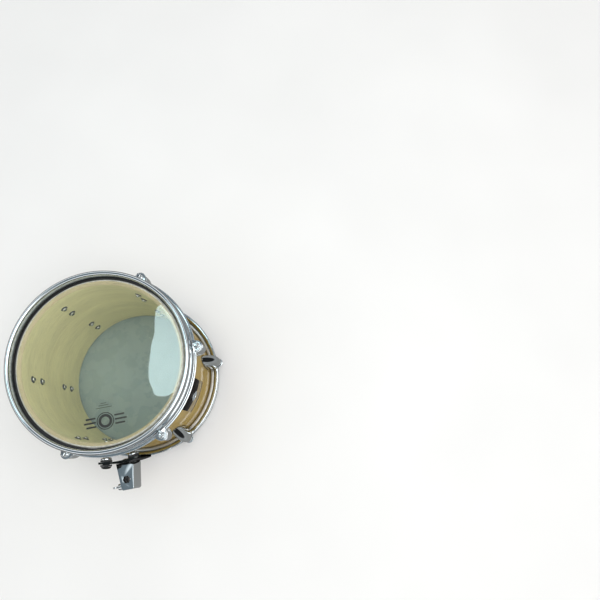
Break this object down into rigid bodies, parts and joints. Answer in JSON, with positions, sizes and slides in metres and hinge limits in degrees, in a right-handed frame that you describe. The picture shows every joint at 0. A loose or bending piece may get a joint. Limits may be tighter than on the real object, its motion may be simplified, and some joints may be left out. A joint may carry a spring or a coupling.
{
  "type": "tom tom drum",
  "caption": "Small rack tom: lacquered wood shell, clear and hazy heads, chrome hoops and lugs, and a hex-rod receiver clamp on an isolated plate.",
  "frame": {"origin": "centre of the model's box in plan, on the surface that the resonant hoop's rim stands on", "axes": "+Z along the drum axis, up to the batter head; -Y from the drum axis to the rod receiver"},
  "size_m": [0.3064, 0.3365, 0.226],
  "materials": {
    "maple_lacquer": "golden maple veneer under clear gloss lacquer, plain pale wood inside",
    "chrome": "bright chrome plate",
    "dark_chrome": "dark mirror plate",
    "steel": "bright zinc plate",
    "aluminium": "satin rolled channel",
    "clear_film": "clear polyester film",
    "grey_film": "hazy polyester film",
    "rubber": "moulded black",
    "black_enamel": "gloss black face with a bright edge"
  },
  "bodies": {
    "drum": {"shell": "maple_lacquer", "batter_head_film": "clear_film", "reso_head_film": "grey_film", "batter_head_ring": "aluminium", "batter_hoop": "chrome", "reso_head_ring": "aluminium", "reso_hoop": "chrome", "batter_lug_1": "chrome", "batter_swivel_nut_1": "steel", "batter_lug_2": "chrome", "batter_swivel_nut_2": "steel", "batter_lug_3": "chrome", "batter_swivel_nut_3": "steel", "batter_lug_4": "chrome", "batter_swivel_nut_4": "steel", "batter_lug_5": "chrome", "batter_swivel_nut_5": "steel", "batter_lug_6": "chrome", "batter_swivel_nut_6": "steel", "reso_lug_1": "chrome", "reso_swivel_nut_1": "steel", "reso_lug_2": "chrome", "reso_swivel_nut_2": "steel", "reso_lug_3": "chrome", "reso_swivel_nut_3": "steel", "reso_lug_4": "chrome", "reso_swivel_nut_4": "steel", "reso_lug_5": "chrome", "reso_swivel_nut_5": "steel", "reso_lug_6": "chrome", "reso_swivel_nut_6": "steel", "badge": "black_enamel", "vent_grommet": "chrome", "mount_plate": "dark_chrome", "left_mount_post": "chrome", "right_mount_post": "chrome", "left_grommet": "rubber", "right_grommet": "rubber", "left_mount_screw": "dark_chrome", "right_mount_screw": "dark_chrome", "upper_receiver_screw": "steel", "lower_receiver_screw": "steel", "receiver": "chrome", "hinge_pin": "steel", "eye_pin": "steel"},
    "batter_rod_1": {"batter_tension_rod_1": "chrome"},
    "batter_rod_2": {"batter_tension_rod_2": "chrome"},
    "batter_rod_3": {"batter_tension_rod_3": "chrome"},
    "batter_rod_4": {"batter_tension_rod_4": "chrome"},
    "batter_rod_5": {"batter_tension_rod_5": "chrome"},
    "batter_rod_6": {"batter_tension_rod_6": "chrome"},
    "reso_rod_1": {"reso_tension_rod_1": "chrome"},
    "reso_rod_2": {"reso_tension_rod_2": "chrome"},
    "reso_rod_3": {"reso_tension_rod_3": "chrome"},
    "reso_rod_4": {"reso_tension_rod_4": "chrome"},
    "reso_rod_5": {"reso_tension_rod_5": "chrome"},
    "reso_rod_6": {"reso_tension_rod_6": "chrome"},
    "jaw": {"clamp_jaw": "chrome"},
    "swing_bolt": {"eye_bolt": "steel"},
    "wing": {"wing_nut": "chrome"}
  },
  "joints": [
    {"name": "batter_rod_1_turn", "type": "hinge", "parent": "drum", "child": "batter_rod_1", "pos_m": [0.1452, 0.0276, 0.1945], "axis": [0, 0, 1], "continuous": true},
    {"name": "batter_rod_2_turn", "type": "hinge", "parent": "drum", "child": "batter_rod_2", "pos_m": [0.0726, 0.15335, 0.1945], "axis": [0, 0, 1], "continuous": true},
    {"name": "batter_rod_3_turn", "type": "hinge", "parent": "drum", "child": "batter_rod_3", "pos_m": [-0.0726, 0.15335, 0.1945], "axis": [0, 0, 1], "continuous": true},
    {"name": "batter_rod_4_turn", "type": "hinge", "parent": "drum", "child": "batter_rod_4", "pos_m": [-0.1452, 0.0276, 0.1945], "axis": [0, 0, 1], "continuous": true},
    {"name": "batter_rod_5_turn", "type": "hinge", "parent": "drum", "child": "batter_rod_5", "pos_m": [-0.0726, -0.09815, 0.1945], "axis": [0, 0, 1], "continuous": true},
    {"name": "batter_rod_6_turn", "type": "hinge", "parent": "drum", "child": "batter_rod_6", "pos_m": [0.0726, -0.09815, 0.1945], "axis": [0, 0, 1], "continuous": true},
    {"name": "reso_rod_1_turn", "type": "hinge", "parent": "drum", "child": "reso_rod_1", "pos_m": [0.1452, 0.0276, 0.0315], "axis": [0, 0, -1], "continuous": true},
    {"name": "reso_rod_2_turn", "type": "hinge", "parent": "drum", "child": "reso_rod_2", "pos_m": [0.0726, 0.15335, 0.0315], "axis": [0, 0, -1], "continuous": true},
    {"name": "reso_rod_3_turn", "type": "hinge", "parent": "drum", "child": "reso_rod_3", "pos_m": [-0.0726, 0.15335, 0.0315], "axis": [0, 0, -1], "continuous": true},
    {"name": "reso_rod_4_turn", "type": "hinge", "parent": "drum", "child": "reso_rod_4", "pos_m": [-0.1452, 0.0276, 0.0315], "axis": [0, 0, -1], "continuous": true},
    {"name": "reso_rod_5_turn", "type": "hinge", "parent": "drum", "child": "reso_rod_5", "pos_m": [-0.0726, -0.09815, 0.0315], "axis": [0, 0, -1], "continuous": true},
    {"name": "reso_rod_6_turn", "type": "hinge", "parent": "drum", "child": "reso_rod_6", "pos_m": [0.0726, -0.09815, 0.0315], "axis": [0, 0, -1], "continuous": true},
    {"name": "jaw_hinge", "type": "hinge", "parent": "drum", "child": "jaw", "pos_m": [-0.0078, -0.1374, 0.137], "axis": [0, 0, -1], "range_deg": [0, 6]},
    {"name": "swing_bolt_hinge", "type": "hinge", "parent": "drum", "child": "swing_bolt", "pos_m": [0.0042, -0.1606, 0.137], "axis": [0, 0, 1], "range_deg": [0, 95]},
    {"name": "wing_nut_turn", "type": "hinge", "parent": "swing_bolt", "child": "wing", "pos_m": [-0.02, -0.1606, 0.137], "axis": [-1, 0, 0], "continuous": true}
  ]
}
